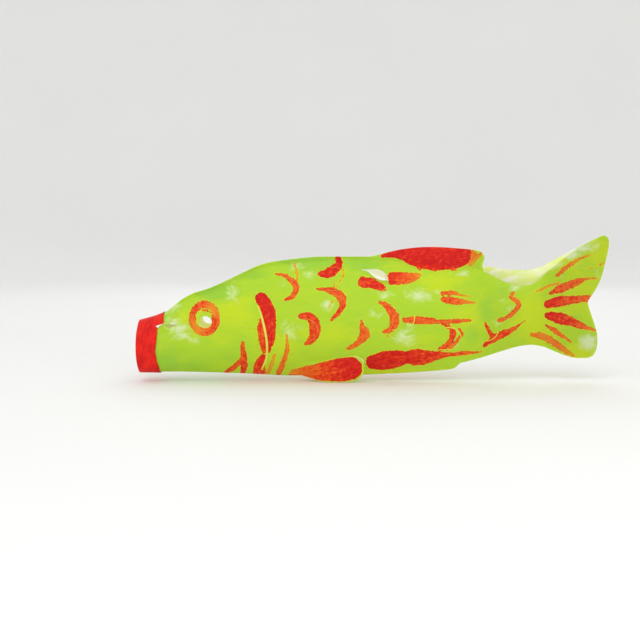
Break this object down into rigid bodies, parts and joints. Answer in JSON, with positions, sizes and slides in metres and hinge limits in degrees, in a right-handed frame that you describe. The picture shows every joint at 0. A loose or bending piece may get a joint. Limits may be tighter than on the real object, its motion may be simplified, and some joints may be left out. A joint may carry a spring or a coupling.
{
  "type": "carp streamer windsock",
  "caption": "Painted paper carp windsock: folded fish tube with mouth ring, lifting scale flaps, pectoral fins, dorsal fin and swaying tail.",
  "frame": {"origin": "centre of the mouth opening, on the mouth's front plane", "axes": "+X from mouth to tail, +Z towards the back (dorsal fin), +Y towards the fish's right side"},
  "size_m": [0.5002, 0.0632, 0.1552],
  "materials": {
    "body_paper": "matte",
    "scale_paper": "matte",
    "fin_paper": "matte",
    "tail_paper": "matte",
    "red_band": "satin",
    "ring_card": "matte",
    "glue": "satin"
  },
  "bodies": {
    "fish_body": {"left_side_panel": "body_paper", "right_side_panel": "body_paper", "mouth_band": "red_band", "mouth_ring": "ring_card", "back_seam_glue": "glue"},
    "tail": {"left_tail_fin": "tail_paper", "right_tail_fin": "tail_paper", "tail_glue": "glue"},
    "left_scale_01_flap": {"left_scale_01": "scale_paper"},
    "left_scale_02_flap": {"left_scale_02": "scale_paper"},
    "left_scale_03_flap": {"left_scale_03": "scale_paper"},
    "left_scale_04_flap": {"left_scale_04": "scale_paper"},
    "left_scale_05_flap": {"left_scale_05": "scale_paper"},
    "left_scale_06_flap": {"left_scale_06": "scale_paper"},
    "left_scale_07_flap": {"left_scale_07": "scale_paper"},
    "left_scale_08_flap": {"left_scale_08": "scale_paper"},
    "left_scale_09_flap": {"left_scale_09": "scale_paper"},
    "left_scale_10_flap": {"left_scale_10": "scale_paper"},
    "left_pectoral_fin_flap": {"left_pectoral_fin": "fin_paper"},
    "right_scale_01_flap": {"right_scale_01": "scale_paper"},
    "right_scale_02_flap": {"right_scale_02": "scale_paper"},
    "right_scale_03_flap": {"right_scale_03": "scale_paper"},
    "right_scale_04_flap": {"right_scale_04": "scale_paper"},
    "right_scale_05_flap": {"right_scale_05": "scale_paper"},
    "right_scale_06_flap": {"right_scale_06": "scale_paper"},
    "right_scale_07_flap": {"right_scale_07": "scale_paper"},
    "right_scale_08_flap": {"right_scale_08": "scale_paper"},
    "right_scale_09_flap": {"right_scale_09": "scale_paper"},
    "right_scale_10_flap": {"right_scale_10": "scale_paper"},
    "right_pectoral_fin_flap": {"right_pectoral_fin": "fin_paper"}
  },
  "joints": [
    {"name": "tail_sway", "type": "hinge", "parent": "fish_body", "child": "tail", "pos_m": [0.433, 0, 0.0425], "axis": [0, 0, 1], "range_deg": [-25, 25], "stiffness_Nm_per_rad": 0.01},
    {"name": "left_scale_01_lift", "type": "hinge", "parent": "fish_body", "child": "left_scale_01_flap", "pos_m": [0.151, -0.02343, 0.061], "axis": [0, -0.4687, -0.8834], "range_deg": [0, 55], "stiffness_Nm_per_rad": 0.002},
    {"name": "left_scale_02_lift", "type": "hinge", "parent": "fish_body", "child": "left_scale_02_flap", "pos_m": [0.17, -0.03106, 0.02], "axis": [0, 0.1194, -0.9928], "range_deg": [0, 55], "stiffness_Nm_per_rad": 0.002},
    {"name": "left_scale_03_lift", "type": "hinge", "parent": "fish_body", "child": "left_scale_03_flap", "pos_m": [0.199, -0.01801, 0.073], "axis": [0, -0.5761, -0.8174], "range_deg": [0, 55], "stiffness_Nm_per_rad": 0.002},
    {"name": "left_scale_04_lift", "type": "hinge", "parent": "fish_body", "child": "left_scale_04_flap", "pos_m": [0.2, -0.02997, 0.044], "axis": [0, -0.1861, -0.9825], "range_deg": [0, 55], "stiffness_Nm_per_rad": 0.002},
    {"name": "left_scale_05_lift", "type": "hinge", "parent": "fish_body", "child": "left_scale_05_flap", "pos_m": [0.226, -0.02866, 0.012], "axis": [0, 0.2368, -0.9715], "range_deg": [0, 55], "stiffness_Nm_per_rad": 0.002},
    {"name": "left_scale_06_lift", "type": "hinge", "parent": "fish_body", "child": "left_scale_06_flap", "pos_m": [0.244, -0.01869, 0.071], "axis": [0, -0.5376, -0.8432], "range_deg": [0, 55], "stiffness_Nm_per_rad": 0.002},
    {"name": "left_scale_07_lift", "type": "hinge", "parent": "fish_body", "child": "left_scale_07_flap", "pos_m": [0.271, -0.02841, 0.032], "axis": [0, -0.02, -0.9998], "range_deg": [0, 55], "stiffness_Nm_per_rad": 0.002},
    {"name": "left_scale_08_lift", "type": "hinge", "parent": "fish_body", "child": "left_scale_08_flap", "pos_m": [0.321, -0.02039, 0.01], "axis": [0, 0.2357, -0.9718], "range_deg": [0, 55], "stiffness_Nm_per_rad": 0.002},
    {"name": "left_scale_09_lift", "type": "hinge", "parent": "fish_body", "child": "left_scale_09_flap", "pos_m": [0.361, -0.01602, 0.019], "axis": [0, 0.1551, -0.9879], "range_deg": [0, 55], "stiffness_Nm_per_rad": 0.002},
    {"name": "left_scale_10_lift", "type": "hinge", "parent": "fish_body", "child": "left_scale_10_flap", "pos_m": [0.385, -0.01647, 0.043], "axis": [0, -0.1051, -0.9945], "range_deg": [0, 55], "stiffness_Nm_per_rad": 0.002},
    {"name": "left_pectoral_fin_lift", "type": "hinge", "parent": "fish_body", "child": "left_pectoral_fin_flap", "pos_m": [0.158, -0.01123, -0.0225], "axis": [0, 0.7013, -0.7129], "range_deg": [0, 30], "stiffness_Nm_per_rad": 0.02},
    {"name": "right_scale_01_lift", "type": "hinge", "parent": "fish_body", "child": "right_scale_01_flap", "pos_m": [0.151, 0.02343, 0.061], "axis": [0, -0.4687, 0.8834], "range_deg": [0, 55], "stiffness_Nm_per_rad": 0.002},
    {"name": "right_scale_02_lift", "type": "hinge", "parent": "fish_body", "child": "right_scale_02_flap", "pos_m": [0.17, 0.03106, 0.02], "axis": [0, 0.1194, 0.9928], "range_deg": [0, 55], "stiffness_Nm_per_rad": 0.002},
    {"name": "right_scale_03_lift", "type": "hinge", "parent": "fish_body", "child": "right_scale_03_flap", "pos_m": [0.199, 0.01801, 0.073], "axis": [0, -0.5761, 0.8174], "range_deg": [0, 55], "stiffness_Nm_per_rad": 0.002},
    {"name": "right_scale_04_lift", "type": "hinge", "parent": "fish_body", "child": "right_scale_04_flap", "pos_m": [0.2, 0.02997, 0.044], "axis": [0, -0.1861, 0.9825], "range_deg": [0, 55], "stiffness_Nm_per_rad": 0.002},
    {"name": "right_scale_05_lift", "type": "hinge", "parent": "fish_body", "child": "right_scale_05_flap", "pos_m": [0.226, 0.02866, 0.012], "axis": [0, 0.2368, 0.9715], "range_deg": [0, 55], "stiffness_Nm_per_rad": 0.002},
    {"name": "right_scale_06_lift", "type": "hinge", "parent": "fish_body", "child": "right_scale_06_flap", "pos_m": [0.244, 0.0187, 0.071], "axis": [0, -0.5377, 0.8431], "range_deg": [0, 55], "stiffness_Nm_per_rad": 0.002},
    {"name": "right_scale_07_lift", "type": "hinge", "parent": "fish_body", "child": "right_scale_07_flap", "pos_m": [0.271, 0.02847, 0.032], "axis": [0, -0.0201, 0.9998], "range_deg": [0, 55], "stiffness_Nm_per_rad": 0.002},
    {"name": "right_scale_08_lift", "type": "hinge", "parent": "fish_body", "child": "right_scale_08_flap", "pos_m": [0.321, 0.02001, 0.01], "axis": [0, 0.2314, 0.9729], "range_deg": [0, 55], "stiffness_Nm_per_rad": 0.002},
    {"name": "right_scale_09_lift", "type": "hinge", "parent": "fish_body", "child": "right_scale_09_flap", "pos_m": [0.361, 0.0134, 0.019], "axis": [0, 0.1376, 0.9905], "range_deg": [0, 55], "stiffness_Nm_per_rad": 0.002},
    {"name": "right_scale_10_lift", "type": "hinge", "parent": "fish_body", "child": "right_scale_10_flap", "pos_m": [0.385, 0.0103, 0.043], "axis": [0, -0.0229, 0.9997], "range_deg": [0, 55], "stiffness_Nm_per_rad": 0.002},
    {"name": "right_pectoral_fin_lift", "type": "hinge", "parent": "fish_body", "child": "right_pectoral_fin_flap", "pos_m": [0.158, 0.01123, -0.0225], "axis": [0, 0.7013, 0.7129], "range_deg": [0, 30], "stiffness_Nm_per_rad": 0.02}
  ]
}
